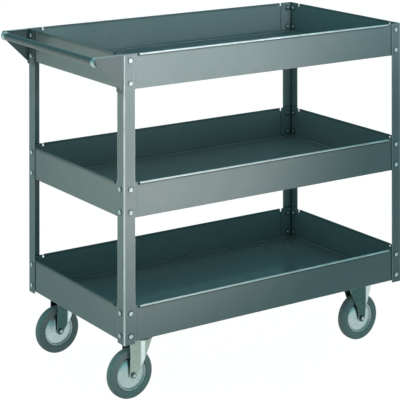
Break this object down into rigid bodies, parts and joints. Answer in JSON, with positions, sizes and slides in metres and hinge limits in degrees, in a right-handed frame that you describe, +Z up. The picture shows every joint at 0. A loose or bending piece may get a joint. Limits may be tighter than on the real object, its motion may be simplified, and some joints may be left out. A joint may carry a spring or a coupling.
{
  "type": "tool cart",
  "caption": "Steel shelf cart for tools: open trays bolted to angle posts, a push handle at one end, swivel casters at that end and fixed casters at the other.",
  "frame": {"origin": "on the floor, under the middle of the overall length and width, handle included", "axes": "+X towards the fixed casters at the front, handle at -X, +Y the left side for someone pushing, +Z up"},
  "size_m": [1.0044, 0.515, 0.888],
  "materials": {
    "grey_enamel": "satin grey baked enamel with a cool green tint",
    "zinc": "bright zinc plate",
    "steel": "plain machined steel",
    "rubber": "matte dark grey rubber"
  },
  "bodies": {
    "frame": {"tray_top": "grey_enamel", "tray_middle": "grey_enamel", "tray_bottom": "grey_enamel", "post_rear_right": "grey_enamel", "post_rear_left": "grey_enamel", "post_front_right": "grey_enamel", "post_front_left": "grey_enamel", "handle_bracket_right": "grey_enamel", "handle_bracket_left": "grey_enamel", "handle_bar": "grey_enamel", "handle_collar_right": "zinc", "handle_collar_left": "zinc", "bolt_rear_right_side_upper": "zinc", "bolt_rear_right_side_lower": "zinc", "bolt_rear_right_end_upper": "zinc", "bolt_rear_right_end_lower": "zinc", "bolt_rear_left_side_upper": "zinc", "bolt_rear_left_side_lower": "zinc", "bolt_rear_left_end_upper": "zinc", "bolt_rear_left_end_lower": "zinc", "bolt_front_right_side_upper": "zinc", "bolt_front_right_side_lower": "zinc", "bolt_front_right_end_upper": "zinc", "bolt_front_right_end_lower": "zinc", "bolt_front_left_side_upper": "zinc", "bolt_front_left_side_lower": "zinc", "bolt_front_left_end_upper": "zinc", "bolt_front_left_end_lower": "zinc", "swivel_plate_right": "zinc", "swivel_race_right": "steel", "swivel_kingpin_right": "zinc", "swivel_plate_left": "zinc", "swivel_race_left": "steel", "swivel_kingpin_left": "zinc", "fixed_fork_right": "zinc", "fixed_axle_bolt_right": "zinc", "fixed_axle_nut_right": "zinc", "fixed_axle_sleeve_right": "steel", "fixed_fork_left": "zinc", "fixed_axle_bolt_left": "zinc", "fixed_axle_nut_left": "zinc", "fixed_axle_sleeve_left": "steel"},
    "swivel_right": {"swivel_fork_right": "zinc", "swivel_axle_bolt_right": "zinc", "swivel_axle_nut_right": "zinc", "swivel_axle_sleeve_right": "steel"},
    "swivel_wheel_right": {"swivel_wheel_disc_right": "zinc", "swivel_tyre_right": "rubber"},
    "fixed_wheel_right": {"fixed_wheel_disc_right": "zinc", "fixed_tyre_right": "rubber"},
    "swivel_left": {"swivel_fork_left": "zinc", "swivel_axle_bolt_left": "zinc", "swivel_axle_nut_left": "zinc", "swivel_axle_sleeve_left": "steel"},
    "swivel_wheel_left": {"swivel_wheel_disc_left": "zinc", "swivel_tyre_left": "rubber"},
    "fixed_wheel_left": {"fixed_wheel_disc_left": "zinc", "fixed_tyre_left": "rubber"}
  },
  "joints": [
    {"name": "swivel_right_turn", "type": "hinge", "parent": "frame", "child": "swivel_right", "pos_m": [-0.32975, -0.1905, 0.15], "axis": [0, 0, 1], "continuous": true},
    {"name": "swivel_left_turn", "type": "hinge", "parent": "frame", "child": "swivel_left", "pos_m": [-0.32975, 0.1905, 0.15], "axis": [0, 0, 1], "continuous": true},
    {"name": "swivel_wheel_right_spin", "type": "hinge", "parent": "swivel_right", "child": "swivel_wheel_right", "pos_m": [-0.36175, -0.1905, 0.0635], "axis": [0, 1, 0], "continuous": true},
    {"name": "swivel_wheel_left_spin", "type": "hinge", "parent": "swivel_left", "child": "swivel_wheel_left", "pos_m": [-0.36175, 0.1905, 0.0635], "axis": [0, 1, 0], "continuous": true},
    {"name": "fixed_wheel_right_spin", "type": "hinge", "parent": "frame", "child": "fixed_wheel_right", "pos_m": [0.39125, -0.1905, 0.0635], "axis": [0, 1, 0], "continuous": true},
    {"name": "fixed_wheel_left_spin", "type": "hinge", "parent": "frame", "child": "fixed_wheel_left", "pos_m": [0.39125, 0.1905, 0.0635], "axis": [0, 1, 0], "continuous": true}
  ]
}
